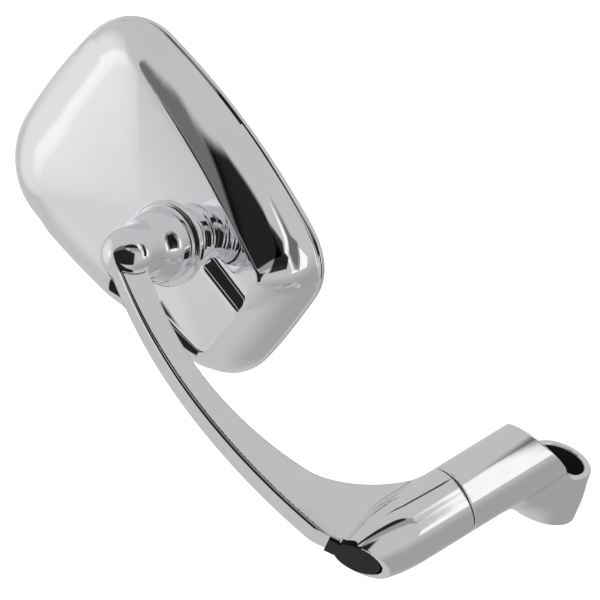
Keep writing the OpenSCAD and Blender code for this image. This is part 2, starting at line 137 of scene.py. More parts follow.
def finish(piece, node, body, look, angle=None):
    """The finished piece stands for its node, rides on its body and takes its finish.

    Edges sharper than the angle, in degrees, stay sharp in the shading.
    """
    if angle:
        pick(piece)
        bpy.ops.object.shade_smooth_by_angle(angle=math.radians(angle))
    piece.data.materials.clear()
    piece.data.materials.append(look)
    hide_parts(node)
    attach(piece, body)


# Materials


def colour(code):
    """Linear colour of an sRGB hex value."""
    parts = [int(code[i : i + 2], 16) / 255 for i in (1, 3, 5)]
    return [c / 12.92 if c <= 0.04045 else ((c + 0.055) / 1.055) ** 2.4 for c in parts] + [1]


def node(tree, kind, settings=(), links=()):
    """One shader node with its settings and the sockets that feed it."""
    made = tree.nodes.new(kind)
    for key, value in dict(settings).items():
        if isinstance(key, str) and hasattr(made, key):
            setattr(made, key, value)
        else:
            made.inputs[key].default_value = value
    for key, source in dict(links).items():
        tree.links.new(source, made.inputs[key])
    return made


def join(tree, kind, a, b):
    """Math node over the first outputs of two nodes."""
    return node(tree, "ShaderNodeMath", {"operation": kind}, {0: a.outputs[0], 1: b.outputs[0]})


def plain_material(name, base, metallic, roughness):
    """Material of one colour and finish, with its shader."""
    look = bpy.data.materials.new(name)
    look.use_nodes = True
    shader = look.node_tree.nodes["Principled BSDF"]
    shader.inputs["Base Color"].default_value = colour(base)
    shader.inputs["Metallic"].default_value = metallic
    shader.inputs["Roughness"].default_value = roughness
    return look, shader


# The part of a noise's range that holds nearly all of its values
NOISE_LOW, NOISE_HIGH = 0.3, 0.7


def textured(name, base, other, metallic, roughness, spread, grain, height):
    """Material whose colour and roughness wander in the piece's own space, over a fine relief.

    roughness is its lowest and highest value. spread and grain are noise scales per metre.
    height is the relief's, in metres.
    """
    look, shader = plain_material(name, base, metallic, roughness[0])
    tree = look.node_tree
    where = node(tree, "ShaderNodeTexCoord")
    wander = node(tree, "ShaderNodeTexNoise", {"Scale": spread, "Detail": 4.0},
                  {"Vector": where.outputs["Object"]})
    tint = node(tree, "ShaderNodeMix", {"data_type": "RGBA", 6: colour(base), 7: colour(other)},
                {0: wander.outputs["Fac"]})
    dull = node(tree, "ShaderNodeMapRange", {"From Min": NOISE_LOW, "From Max": NOISE_HIGH,
                                             "To Min": roughness[0], "To Max": roughness[1]},
                {"Value": wander.outputs["Fac"]})
    fine = node(tree, "ShaderNodeTexNoise", {"Scale": grain, "Detail": 2.0},
                {"Vector": where.outputs["Object"]})
    bump = node(tree, "ShaderNodeBump", {"Strength": 1.0, "Distance": height},
                {"Height": fine.outputs["Fac"]})
    tree.links.new(tint.outputs[2], shader.inputs["Base Color"])
    tree.links.new(dull.outputs[0], shader.inputs["Roughness"])
    tree.links.new(bump.outputs[0], shader.inputs["Normal"])
    return look, shader


# The head's shell: mirror-bright chrome over a thin casting, so the studio's shapes stay crisp on it
shell_chrome = textured("shell_chrome", "#F1F1F3", "#ECECF0", 1.0, (0.015, 0.035), 40, 70, 0.000006)[0]

# The castings: the same chrome over hand-polished metal, whose slow waves soften every reflection a little
chrome, shader = textured("cast_chrome", "#F1F1F3", "#E9E9ED", 1.0, (0.03, 0.07), 55, 110, 0.000012)
tree = chrome.node_tree

# Painted shade inside the eye's recess: its wall and floor are coloured dark, dull and not metal, for the
# shade that falls in it. Each pair says where the painted shade begins and where it is full: off the eye's
# axis, over its floor and under its top.
SHADE_SIDE, SHADE_FLOOR, SHADE_TOP = (9.8, 9.5), (6.4, 6.6), (20.2, 19.8)
PAINTED_SHADE_COLOUR, PAINTED_SHADE_ROUGHNESS = "#151516", 0.6
where = node(tree, "ShaderNodeTexCoord")
flat = node(tree, "ShaderNodeVectorMath", {"operation": "MULTIPLY", 1: (1, 1, 0)},
            {0: where.outputs["Object"]})
off_axis = node(tree, "ShaderNodeVectorMath", {"operation": "LENGTH"}, {0: flat.outputs[0]}).outputs["Value"]
height = node(tree, "ShaderNodeSeparateXYZ", {}, {0: where.outputs["Object"]}).outputs["Z"]
inside, risen, below = [
    node(tree, "ShaderNodeMapRange", {"From Min": start * MM, "From Max": full * MM}, {"Value": value})
    for value, (start, full) in ((off_axis, SHADE_SIDE), (height, SHADE_FLOOR), (height, SHADE_TOP))
]
# Mask of the painted shade in the eye's recess
recess_shade = join(tree, "MULTIPLY", join(tree, "MULTIPLY", inside, risen), below)
plated = shader.inputs["Base Color"].links[0].from_socket
polished = shader.inputs["Roughness"].links[0].from_socket
# Inside the mask the colour goes dark, the surface rough and the metal off: painted shade
shaded_tint = node(tree, "ShaderNodeMix", {"data_type": "RGBA", 7: colour(PAINTED_SHADE_COLOUR)},
            {0: recess_shade.outputs[0], 6: plated})
dull = node(tree, "ShaderNodeMix", {"data_type": "FLOAT", 3: PAINTED_SHADE_ROUGHNESS},
            {0: recess_shade.outputs[0], 2: polished})
outside_shade = node(tree, "ShaderNodeMath", {"operation": "SUBTRACT", 0: 1.0}, {1: recess_shade.outputs[0]})
tree.links.new(shaded_tint.outputs[2], shader.inputs["Base Color"])
tree.links.new(dull.outputs[0], shader.inputs["Roughness"])
tree.links.new(outside_shade.outputs[0], shader.inputs["Metallic"])

# Zinc-plated turned parts: a soft blue-white metal, clearly duller than the chrome beside it
steel = textured("zinc_plated_steel", "#A2A5AA", "#B9BBBF", 1.0, (0.24, 0.38), 260, 1400, 0.000008)[0]

# Hardened disc springs: a darker oiled metal
spring_steel = textured("oiled_spring_steel", "#4C4E52", "#66686C", 1.0, (0.28, 0.45), 300, 1600, 0.00001)[0]

# Bearing parts: natural nylon, off-white and waxy
nylon, shader = textured("natural_nylon", "#DCD8CA", "#E6E3D8", 0.0, (0.38, 0.5), 180, 1200, 0.00001)
shader.inputs["Subsurface Weight"].default_value = 0.15
shader.inputs["Subsurface Scale"].default_value = 0.002

# Plug and carrier: moulded black plastic with a fine spark-eroded grain that spreads its highlights
black_plastic, shader = textured("moulded_black_plastic", "#030304", "#070708", 0.0, (0.3, 0.42), 220, 2600,
                                 0.00003)
shader.inputs["Specular IOR Level"].default_value = 0.12

# Seal: soft rubber, a flat warm black that frames the glass
rubber = textured("black_rubber", "#121211", "#1A1A19", 0.0, (0.55, 0.75), 200, 1800, 0.00002)[0]

# Tape behind the glass: charcoal foam with open cells
foam = textured("charcoal_foam", "#232325", "#39393B", 0.0, (0.9, 1.0), 900, 700, 0.0002)[0]

# Glass: bright silvering under clear glass, whose own gloss lies over it
silvered, shader = textured("silvered_glass", "#DDE3E3", "#E3E8E8", 1.0, (0.0, 0.012), 30, 20, 0.000001)
shader.inputs["Coat Weight"].default_value = 1.0
shader.inputs["Coat Roughness"].default_value = 0.0

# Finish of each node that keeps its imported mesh
SLOTS = {
    "steel": (steel, ["pivot_stud", "friction_washer", "lock_nut", "ball_stud", "spring_seat", "preload_nut",
                      "neck_nut", "carrier_screws"]),
    "spring_steel": (spring_steel, ["disc_springs", "preload_spring"]),
    "nylon": (nylon, ["thrust_washer", "front_cup", "rear_cup"]),
    "black_plastic": (black_plastic, ["end_plug", "glass_carrier"]),
    "foam": (foam, ["foam_pad"]),
}


# Head: outline, side walls, back panel and recess, in the head's frame

# An outline's eight values: how far it reaches outboard and inboard, its half height at the outboard and at
# the inboard end, the size of its outboard and inboard corners, its long sides' crown and its ends' bow.
# The rim's outline lies at the glass, the crease's where the side walls meet the back panel.
RIM = np.array([64.2, 69.6, 47.9, 39.1, 27, 20, 3.4, 1])
CREASE = np.array([64.2 - 9, 69.6 - 13.2, 47.9 - 7.3, 39.1 - 16, 14, 4, 0, 0.3])
CORNER_IN, LOWER_ROUNDER = 5, 0.3
LIP_H, LIP_STEP = 2.2, 1.0
PANEL_DEPTH, PANEL_RISE, PANEL_CROWN = 17.0, 0.135, 1.0
INBOARD_STEPS, CORNER_IN_STEPS, LONG_STEPS, CORNER_OUT_STEPS, OUTBOARD_STEPS = 16, 36, 70, 28, 16

# How far a corner's handles reach, and how the points of a long side crowd towards its inboard end
CORNER_PULL, LONG_CROWDING = 0.55, 1.25


def bezier(a, b, c, d, s):
    """Points of a cubic curve from a to d, with handles b and c, at shares s."""
    s = s[:, None]
    return (1 - s) ** 3 * a + 3 * s * (1 - s) ** 2 * b + 3 * s * s * (1 - s) * c + s**3 * d


def half_outline(v):
    """Upper half of the head's outline, from the inboard end to the outboard end."""
    xo, xi, ho, hi, co, ci, w, bow = v[0], -v[1], *v[2:]
    a, b = np.array([xi + bow / 2, hi - ci]), np.array([xi + ci, hi])
    c, d = np.array([xo - co, ho]), np.array([xo - bow, ho - co])
    run = c[0] - b[0]
    slope, bend = (ho - hi) / run, 4 * w / run
    pull_in, pull_out = CORNER_PULL * ci, CORNER_PULL * co
    t = np.linspace(0, 1, INBOARD_STEPS, endpoint=False)
    inboard = np.stack([xi + bow / 2 * t**2, a[1] * t], 1)
    t = np.linspace(0, 1, CORNER_IN_STEPS, endpoint=False)
    way_a, way_b = np.array([bow / a[1], 1]), np.array([1, slope + bend])
    corner_in = bezier(a, a + pull_in * way_a, b - pull_in * way_b, b, t)
    t = np.linspace(0, 1, LONG_STEPS, endpoint=False) ** LONG_CROWDING
    long_edge = np.stack([b[0] + run * t, hi + (ho - hi) * t + 4 * w * t * (1 - t)], 1)
    t = np.linspace(0, 1, CORNER_OUT_STEPS, endpoint=False)
    way_c, way_d = np.array([1, slope - bend]), np.array([-2 * bow / d[1], 1])
    corner_out = bezier(c, c + pull_out * way_c, d + pull_out * way_d, d, t)
    t = np.linspace(1, 0, OUTBOARD_STEPS, endpoint=False)
    outboard = np.stack([xo - bow * t**2, d[1] * t], 1)
    return np.concatenate([inboard, corner_in, long_edge, corner_out, outboard])


def outline(v):
    """Whole outline. Its lower inboard corner is rounder than the upper one."""
    v = np.asarray(v, float)
    upper = half_outline(v)
    rounder = v.copy()
    rounder[CORNER_IN] += LOWER_ROUNDER * v[CORNER_IN]
    lower = half_outline(rounder)[:0:-1] * [1, -1]
    return np.concatenate([upper, [[v[0], 0]], lower])


def pulled_in(v, inset):
    """Values of an outline that lies further in by inset."""
    return v - inset * np.array([1, 1, 1, 1, 0.5, 0.5, 0, 0])


def panel_y(x):
    """Height of the back panel, which rises towards the inboard end."""
    return PANEL_DEPTH - PANEL_RISE * x


def smooth(t):
    """Soft step from 0 at t = 0 to 1 at t = 1."""
    t = np.clip(t, 0, 1)
    return t * t * (3 - 2 * t)


# The recess beside the neck: step A runs along the head, step B slants at its inboard end, and step C ends it
# outboard.
RELIEF_DEPTH = 5.5
STEP_A_Z, STEP_A_WIDTH = 7.2, 15.0
STEP_B_FROM, STEP_B_TO, STEP_B_WIDTH = np.array([-57.5, 8.0]), np.array([-70.0, 27.0]), 4.0
STEP_C_X, STEP_C_WIDTH = -12.0, 10.0


def relief(x, z):
    """Share of the recess's depth at a place on the back, 0 outside and 1 on its floor."""
    run = STEP_B_TO - STEP_B_FROM
    run = run / np.linalg.norm(run)
    past_a = smooth((STEP_A_Z - z) / STEP_A_WIDTH + 0.5)
    side_b = (x - STEP_B_FROM[0]) * run[1] - (z - STEP_B_FROM[1]) * run[0]
    past_b = smooth(-side_b / STEP_B_WIDTH + 0.5)
    past_c = smooth((STEP_C_X - x) / STEP_C_WIDTH + 0.5)
    return np.maximum(past_a, past_b) * past_c


ROUND_LEAST, ROUND_OUTBOARD, ROUND_LOWER = 1.0, 10, 2.5
OUTBOARD_FROM, OUTBOARD_OVER = -20, 75
LOWER_OVER, LOWER_FROM, LOWER_ALONG = 15, -70, 60
WALL_EVEN, WALL_POWER = 0.2, 2.2


def crease_reach(crease):
    """How far the rounding reaches from the crease: tight inboard, wide at the outboard end."""
    x, z = crease[:, 0], crease[:, 2]
    outboard = ROUND_OUTBOARD * smooth((x - OUTBOARD_FROM) / OUTBOARD_OVER)
    lower = ROUND_LOWER * smooth(-z / LOWER_OVER) * smooth((x - LOWER_FROM) / LOWER_ALONG)
    return ROUND_LEAST + outboard + lower


def wall_ring(s):
    """Ring at share s of the wall's height. The wall bulges: it leans in slowly at first, then faster."""
    share = WALL_EVEN * s + (1 - WALL_EVEN) * s**WALL_POWER
    p = outline(pulled_in(RIM + (CREASE - RIM) * share, LIP_STEP * (1 - s)))
    return np.stack([p[:, 0], LIP_H + (panel_y(p[:, 0]) - LIP_H) * s, p[:, 1]], 1)


def panel_ring(f):
    """Ring on the back panel, at share f of the way from its middle to the crease."""
    p = outline(CREASE) * f
    return np.stack([p[:, 0], panel_y(p[:, 0]) + PANEL_CROWN * (1 - f * f), p[:, 1]], 1)


def column_points(rows, at):
    """Points of a stack of rings, at a place of its own on each column."""
    at = np.clip(at, 0, len(rows) - 1.001)
    low = at.astype(int)
    column = np.arange(rows.shape[1])
    part = (at - low)[:, None]
    return rows[low, column] * (1 - part) + rows[low + 1, column] * part


WALL_STEPS, ROUND_STEPS, PANEL_STEPS, FINE = 24, 8, 44, 300
SHELL_T = 1.4

# The rim's rolled edge, as insets from the rim and heights
RIM_ROLL = [(1.4, 0), (0.5, 0), (0.15, 0.12), (0, 0.45), (0, 1.7), (0.1, 2.05), (0.4, 2.25)]


def head_rings():
    """Rings of the shell's outside, from the rim's inner edge over the walls to the panel's middle."""
    rings = []
    for inset, y in RIM_ROLL:
        p = outline(pulled_in(RIM, inset))
        rings.append(np.stack([p[:, 0], np.full(len(p), y), p[:, 1]], 1))
    walls = np.stack([wall_ring(k / FINE) for k in range(FINE + 1)])
    panels = np.stack([panel_ring(1 - k / FINE) for k in range(FINE + 1)])
    crease = walls[-1]
    reach = crease_reach(crease)
    wall_end = np.argmin(np.abs(np.linalg.norm(walls - crease, axis=2) - reach), axis=0)
    panel_start = np.argmin(np.abs(np.linalg.norm(panels - crease, axis=2) - reach), axis=0)

    def add(points, share):
        points[:, 1] -= RELIEF_DEPTH * share * relief(points[:, 0], points[:, 2])
        rings.append(points)

    for k in range(1, WALL_STEPS + 1):
        at = wall_end * (k / WALL_STEPS)
        add(column_points(walls, at), at / FINE)
    start = column_points(walls, wall_end)
    end = column_points(panels, panel_start)
    for k in range(1, ROUND_STEPS):
        t = k / ROUND_STEPS
        points = (1 - t) ** 2 * start + 2 * t * (1 - t) * crease + t * t * end
        add(points, (1 - t) * wall_end / FINE + t)
    for k in range(PANEL_STEPS + 1):
        at = panel_start + (FINE - panel_start) * (k / PANEL_STEPS)
        add(column_points(panels, at), 1)
    return rings


housing = loft("head_shell", head_rings(), HEAD, capped=False)
apply_modifier(housing, "SOLIDIFY", thickness=SHELL_T * MM, offset=-1, use_even_offset=True)

# The neck's foot stands on a collar, and its spigot goes through the shell
COLLAR_R, COLLAR_TOP, COLLAR_DEPTH, COLLAR_EDGE = 11.8, 20.4, 6.2, 0.25
HOLE_R, HOLE_FROM, HOLE_TO = 10.98, -15, 5
JOINT = HEAD @ Matrix.Translation((JOINT_X, COLLAR_TOP, JOINT_Z)) @ Matrix.Rotation(math.radians(-90), 4, "X")
collar_line = [(0, -COLLAR_DEPTH), (COLLAR_R, -COLLAR_DEPTH), (COLLAR_R, -COLLAR_EDGE),
               (COLLAR_R - COLLAR_EDGE, 0), (0, 0)]
hole_line = [(0, HOLE_FROM), (HOLE_R, HOLE_FROM), (HOLE_R, HOLE_TO), (0, HOLE_TO)]
collar = turned("collar", collar_line, JOINT, capped=False)
hole = turned("hole", hole_line, JOINT, capped=False)
for tool, operation in ((collar, "UNION"), (hole, "DIFFERENCE")):
    apply_modifier(housing, "BOOLEAN", operation=operation, object=tool, solver="EXACT")
    bpy.data.meshes.remove(tool.data)
finish(housing, "head_housing", "head", shell_chrome, angle=40)

# Convex glass in its seal. The seal's line is one of insets from the rim and heights.
GLASS_INSET, GLASS_Y, GLASS_T, GLASS_CURVE_R, GLASS_STEPS = 3.1, 0.2, 2.8, 1400.0, 24
GLASS_EDGE, GLASS_EDGE_LEAST = 0.25, 0.1
SEAL = [(1.6, 2.1), (1.6, 0.25), (1.68, 0.07), (1.85, 0), (4.5, 0), (4.65, 0.05), (4.7, 0.15), (3.05, 0.17),
        (3.05, 2.2), (1.7, 2.2), (1.6, 2.1)]


def sheet_ring(inset, f, y=None):
    """Ring of the glass's outline, shrunk to share f, at depth y or on the convex face."""
    p = outline(pulled_in(RIM, inset)) * f
    face = GLASS_Y + (p**2).sum(1) / (2 * GLASS_CURVE_R)
    return np.stack([p[:, 0], face if y is None else np.full(len(p), y), p[:, 1]], 1)


glass_rings = [sheet_ring(GLASS_INSET + GLASS_EDGE, k / GLASS_STEPS) for k in range(GLASS_STEPS + 1)]
glass_back = GLASS_Y + GLASS_T
edge_ring = sheet_ring(GLASS_INSET, 1)
edge_ring[:, 1] = np.minimum(edge_ring[:, 1] + GLASS_EDGE, glass_back - GLASS_EDGE_LEAST)
glass_rings += [edge_ring, sheet_ring(GLASS_INSET, 1, glass_back), sheet_ring(GLASS_INSET, 0, glass_back)]
glass = loft("glass", glass_rings, HEAD, capped=False)
finish(glass, "mirror_glass", "head", silvered, angle=30)
seal = loft("seal", [sheet_ring(inset, 1, y) for inset, y in SEAL], HEAD, capped=False)
finish(seal, "rim_seal", "head", rubber, angle=50)


# Castings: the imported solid's copy is remeshed, and its points are drawn onto the cast form.
# A form is a distance from the wanted skin: below 0 inside it, 0 on it and above 0 outside.

# Size of the remesh's cubes, how often the points are drawn on, and how far apart a slope is measured
GRAIN, DRAWS, PROBE = 0.5, 5, 0.01

# Where a form is nearly flat, its slope's square counts as at least this
LEAST_SLOPE = 0.05


def soft_min(a, b, blend):
    """The smaller of two forms, with a fillet where they meet."""
    h = np.maximum(blend - np.abs(a - b), 0) / blend
    return np.minimum(a, b) - h * h * blend / 4


def soft_max(a, b, blend):
    """The larger of two forms, with a rounding where they meet."""
    return -soft_min(-a, -b, blend)


def slope_of(form, points, here):
    """Rise of a form along each axis, over the probe's length."""
    return np.stack([form(points + PROBE * axis) - here for axis in np.eye(3)], 1)


def cast(name, source, form):
    """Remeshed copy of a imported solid, with each point drawn onto the surface where form is 0."""
    piece = frame["nodes"][source].copy()
    piece.data = piece.data.copy()
    piece.name = piece.data.name = name
    piece.parent = None
    for key in list(piece.keys()):
        del piece[key]
    bpy.context.scene.collection.objects.link(piece)
    pick(piece)
    bpy.ops.object.mode_set(mode="EDIT")
    bpy.ops.mesh.select_all(action="SELECT")
    bpy.ops.mesh.remove_doubles(threshold=1e-6)
    bpy.ops.object.mode_set(mode="OBJECT")
    apply_modifier(piece, "REMESH", mode="VOXEL", voxel_size=GRAIN * MM)
    points = np.zeros(len(piece.data.vertices) * 3)
    piece.data.vertices.foreach_get("co", points)
    points = points.reshape(-1, 3) / MM
    for _ in range(DRAWS):
        here = form(points)
        slope = slope_of(form, points, here) / PROBE
        step = here[:, None] * slope / np.maximum((slope**2).sum(1), LEAST_SLOPE)[:, None]
        points -= np.clip(step, -GRAIN, GRAIN)
    piece.data.vertices.foreach_set("co", (points * MM).ravel())
    piece.data.update()
    piece.data.shade_smooth()
    slope = slope_of(form, points, form(points))
    slope /= np.maximum(np.linalg.norm(slope, axis=1), 1e-9)[:, None]
    piece.data.normals_split_custom_set_from_vertices(slope)
    return piece


def local(points, matrix):
    """Points of the row, in millimetres, in a frame of its own."""
    back = np.array((matrix @ Matrix.Scale(1 / MM, 4)).to_3x3())
    origin = np.array(matrix.translation) / MM
    return (points - origin) @ back


# Base: eye, slanted barrel and the web between them

EYE_H, EYE_R, EYE_FLARE = 20.7, 12.2, 0.9
BOLT_R, RECESS_R, EYE_FLOOR = 5.25, 9.45, 6.7
BARREL_R, SEAM_GAP = 13.3, 0.4
STUD_R, STUD_GRIP = 4.02, 20.0

# Widths of the base's roundings and fillets
EYE_EDGE, FOOT_EDGE, SEAM_EDGE, RECESS_EDGE, BOLT_EDGE, END_EDGE = 1.0, 0.8, 0.5, 0.9, 0.4, 0.5
EYE_FILLET, BARREL_FILLET = 4.0, 5.0

# Width of the rounding at the mouths of the hollows
HOLLOW_EDGE = 0.3

# The barrel's slanted end face
END_AT, END_SIDE, END_TOP = -38.8, math.radians(-19.8), math.radians(11)
END_TURN = Matrix.Rotation(END_TOP, 3, "Z") @ Matrix.Rotation(END_SIDE, 3, "X")
END_NORMAL = np.array(END_TURN @ Vector((0, 1, 0)))

# The web, from the eye to the barrel
WEB_FROM, WEB_FROM_R = np.array([0.0, 0.5, 8.6]), 11.6
WEB_TO, WEB_TO_R = np.array(BARREL @ Vector((0, -20, -4))) / MM, 8.6


def round_cone(points, a, b, ra, rb):
    """Distance to the skin over a ball at a and a smaller one at b."""
    way = b - a
    length = np.linalg.norm(way)
    way = way / length
    from_a = points - a
    along = from_a @ way
    off = np.linalg.norm(from_a - along[:, None] * way, axis=1)
    sine = (ra - rb) / length
    cosine = math.sqrt(1 - sine * sine)
    t = np.clip((along - off * sine / cosine) / length, 0, 1)
    nearest = a + (t * length)[:, None] * way
    return np.linalg.norm(points - nearest, axis=1) - (ra + (rb - ra) * t)


def base_form(points):
    off = np.hypot(points[:, 0], points[:, 1])
    eye = off - (EYE_R + EYE_FLARE * (1 - points[:, 2] / EYE_H))
    eye = soft_max(eye, points[:, 2] - EYE_H, EYE_EDGE)
    b = local(points, BARREL)
    off_axis = np.hypot(b[:, 0], b[:, 2])
    barrel = soft_max(off_axis - BARREL_R, (np.array([0, END_AT, 0]) - b) @ END_NORMAL, END_EDGE)
    web = round_cone(points, WEB_FROM, WEB_TO, WEB_FROM_R, WEB_TO_R)
    body = soft_min(soft_min(eye, web, EYE_FILLET), barrel, BARREL_FILLET)
    body = soft_max(body, -points[:, 2], FOOT_EDGE)
    body = soft_max(body, b[:, 1], SEAM_EDGE)
    recess = np.maximum(off - RECESS_R, EYE_FLOOR - points[:, 2])
    body = soft_max(body, -recess, RECESS_EDGE)
    body = soft_max(body, BOLT_R - off, BOLT_EDGE)
    stud = np.maximum(off_axis - STUD_R, -STUD_GRIP - b[:, 1])
    return soft_max(body, -stud, HOLLOW_EDGE)


base = cast("base_body", "base_casting", base_form)
finish(base, "base_casting", "base", chrome)


# Arm: flat curved bar, tapering barrel, and boss with its dome, bell and flange

ARM_T, ARM_W = 11.0, 9.9

# The bar's crest, the radius of its outer edge on each side of it, and how its inner edge differs
CREST_X, CREST_OUT = 82.0, 60.8
OUTER_R_BOSS, OUTER_R_BARREL = 200, 265
INNER_GAP, INNER_SHIFT, INNER_CURVE = 0.3, 6, 250

# Where the web's sweep meets the bar's edge, where the bar ends in the boss, and the turn of the line along
# which the edges' heights are kept
BAR_MID, BAR_END = 37.0, REACH - 2
TURN = math.radians(31)
PAST_BAR, OUTER_STEPS, INNER_STEPS, WEB_STEPS = 30, 900, 700, 300

# The barrel's taper, and the plug in its slanted end
BULLET_START, BULLET_CURVE_R = 22.0, 66.0
PLUG_AT, PLUG_SLANT, PLUG_SEAT_R, PLUG_CAP, PLUG_LIP = 44.3, math.radians(30), 9.2, 2.2, 1.2

# Hollows on the barrel's axis: the thrust washer's, the stud's bore and the spring cavity
THRUST_R, THRUST_END = 10.5, 1.85
BORE_R, BORE_END = 4.06, 15
CAVITY_R, CAVITY_FROM = 8.6, 13.35

# Dome, bell and flange
DOME_R, BELL_R, FLANGE_R, FLANGE_AT, FLANGE_T = 10.75, 13.6, 16.1, 25.0, 3.2
BELL_FROM, BELL_OVER = 6.5, 9

# Hollows on the boss's axis: the neck's round socket, and the seats of the ball stud's shoulder and shank
SOCKET_R = 13.86
SHOULDER_R, SHOULDER_AT, SHOULDER_HALF = 6.5, 21, 2
SHANK_R, SHANK_AT, SHANK_HALF = 5.02, 15, 7

# Widths of the arm's roundings and fillets
OUTER_EDGE, INNER_EDGE, PLUG_EDGE, FLANGE_EDGE = 1.755, 0.7, 0.4, 0.9
ARM_FILLET, BELL_FILLET = 1.2, 1.4


def outer_edge(x):
    radius = np.where(x > CREST_X, OUTER_R_BOSS, OUTER_R_BARREL)
    return CREST_OUT - (x - CREST_X) ** 2 / (2 * radius)


def inner_edge(x):
    return CREST_OUT - ARM_W + INNER_GAP - (x - CREST_X - INNER_SHIFT) ** 2 / INNER_CURVE


def edge_curve(points):
    """An edge's curve as places along the arm, heights over that line, and slopes."""
    u = points[:, 0] * math.cos(TURN) + points[:, 1] * math.sin(TURN)
    v = points[:, 1] * math.cos(TURN) - points[:, 0] * math.sin(TURN)
    return u, v, np.gradient(v, u)


x = np.linspace(-PAST_BAR, REACH + PAST_BAR, OUTER_STEPS)
OUTER = edge_curve(np.stack([x, outer_edge(x)], 1))

# The inner edge starts under the seam, sweeps up the barrel's side as a web, and goes on as the bar's edge
x = np.linspace(BAR_MID, REACH + PAST_BAR, INNER_STEPS)
top, foot = np.array([BAR_MID, inner_edge(BAR_MID)]), np.array([BARREL_R - 2, 1.2])
up_side, to_bar, under = np.array([BARREL_R + 0.3, 20]), top + [-10, -4.2], foot + [-2.3, -20]
sweep = bezier(foot, up_side, to_bar, top, np.linspace(0, 1, WEB_STEPS, endpoint=False))
INNER = edge_curve(np.concatenate([[under], sweep, np.stack([x, inner_edge(x)], 1)]))


def above(curve, u, v):
    """Distance of places above an edge's curve."""
    slope = np.interp(u, curve[0], curve[2])
    return (v - np.interp(u, curve[0], curve[1])) / np.sqrt(1 + slope**2)


def bullet_radius(t):
    """Radius of the barrel at distance t from the seam."""
    return BARREL_R - np.maximum(t - BULLET_START, 0) ** 2 / (2 * BULLET_CURVE_R)


def boss_form(points):
    """Form of dome, bell and flange, and of the hollows in them."""
    b = local(points, BOSS)
    off, h = np.hypot(b[:, 0], b[:, 1]), b[:, 2]
    dome = np.hypot(off, np.minimum(h, 0)) - DOME_R
    swell = (BELL_R - DOME_R) * smooth((h - BELL_FROM) / BELL_OVER)
    bell = np.maximum(dome - swell, h - FLANGE_AT + 1)
    flange = soft_max(off - FLANGE_R, np.abs(h - FLANGE_AT + FLANGE_T / 2) - FLANGE_T / 2, FLANGE_EDGE)
    body = soft_min(bell, flange, BELL_FILLET)
    socket = np.hypot(off, h - BALL_AT) - SOCKET_R
    shoulder = np.maximum(off - SHOULDER_R, np.abs(h - SHOULDER_AT) - SHOULDER_HALF)
    shank = np.maximum(off - SHANK_R, np.abs(h - SHANK_AT) - SHANK_HALF)
    return body, np.minimum(np.minimum(socket, shoulder), shank)


def arm_form(points):
    a = local(points, ARM)
    u = a[:, 0] * math.cos(TURN) + a[:, 1] * math.sin(TURN)
    v = a[:, 1] * math.cos(TURN) - a[:, 0] * math.sin(TURN)
    side = np.abs(a[:, 2]) - ARM_T / 2
    bar = soft_max(above(OUTER, u, v), side, OUTER_EDGE)
    bar = soft_max(bar, -above(INNER, u, v), INNER_EDGE)
    bar = np.maximum(bar, np.maximum(a[:, 0] - BAR_END, -a[:, 0]))
    off, t = np.hypot(a[:, 0], a[:, 2]), a[:, 1]
    bullet = np.maximum(off - bullet_radius(t), -t)
    boss, boss_hollow = boss_form(points)
    body = soft_min(soft_min(bar, bullet, ARM_FILLET), boss, ARM_FILLET)
    along = (a[:, 1] - PLUG_AT) * math.cos(PLUG_SLANT) - a[:, 0] * math.sin(PLUG_SLANT)
    across = a[:, 0] * math.cos(PLUG_SLANT) + (a[:, 1] - PLUG_AT) * math.sin(PLUG_SLANT)
    body = soft_max(body, along, PLUG_EDGE)
    body = soft_max(body, SEAM_GAP - t, SEAM_EDGE)
    seat = np.maximum(np.hypot(across, a[:, 2]) - PLUG_SEAT_R, -PLUG_CAP - along)
    lip = np.maximum(PLUG_SEAT_R - 1 - across, -PLUG_LIP - along)
    thrust = np.maximum(off - THRUST_R, t - THRUST_END)
    bore = np.maximum(off - BORE_R, t - BORE_END)
    cavity = np.maximum(off - CAVITY_R, CAVITY_FROM - t)
    hollow = np.minimum(np.minimum(thrust, bore), cavity)
    hollow = np.minimum(np.minimum(hollow, seat), np.minimum(lip, boss_hollow))
    return soft_max(body, -hollow, HOLLOW_EDGE)


arm = cast("arm_body", "arm_casting", arm_form)
finish(arm, "arm_casting", "arm", chrome)


# Neck: grooved sleeve with a round front that turns in the arm's boss

NECK_R, NECK_END, SEAT_R = 11.3, 41.0, 9.35
SPIGOT_LEN, SPIGOT_STEP = 11.5, 0.4
NECK_EDGE = 0.5

# The round front is part of a ball, open in front at this angle from the axis
FRONT_R, FRONT_OPEN, FRONT_STEPS = math.hypot(NECK_R, 7.5), math.radians(41), 14

# Grooves from start to end, with slanted flanks
GROOVES = [(-4.6, -1.2), (0.6, 5.4)]
GROOVE_DEPTH, GROOVE_FLANK = 1.0, 0.6


# A rounding takes up at most this share of each side next to its corner
SIDE_SHARE = 0.45


def rounded(corner_points, radius, steps=5):
    """A profile's line with each corner between its ends rounded."""
    out = [corner_points[0]]
    for before, corner, after in zip(corner_points, corner_points[1:], corner_points[2:]):
        a, c, b = Vector(before), Vector(corner), Vector(after)
        reach = min(radius, (a - c).length * SIDE_SHARE, (b - c).length * SIDE_SHARE)
        start, end = c + (a - c).normalized() * reach, c + (b - c).normalized() * reach
        for k in range(steps + 1):
            w = k / steps
            out.append(tuple((1 - w) ** 2 * start + 2 * w * (1 - w) * c + w * w * end))
    return out + [corner_points[-1]]


def ball_line(radius, start, end):
    """Line on a ball round the neck's centre, between two angles from its front."""
    return [(radius * math.sin(a), -radius * math.cos(a)) for a in np.linspace(start, end, FRONT_STEPS)]


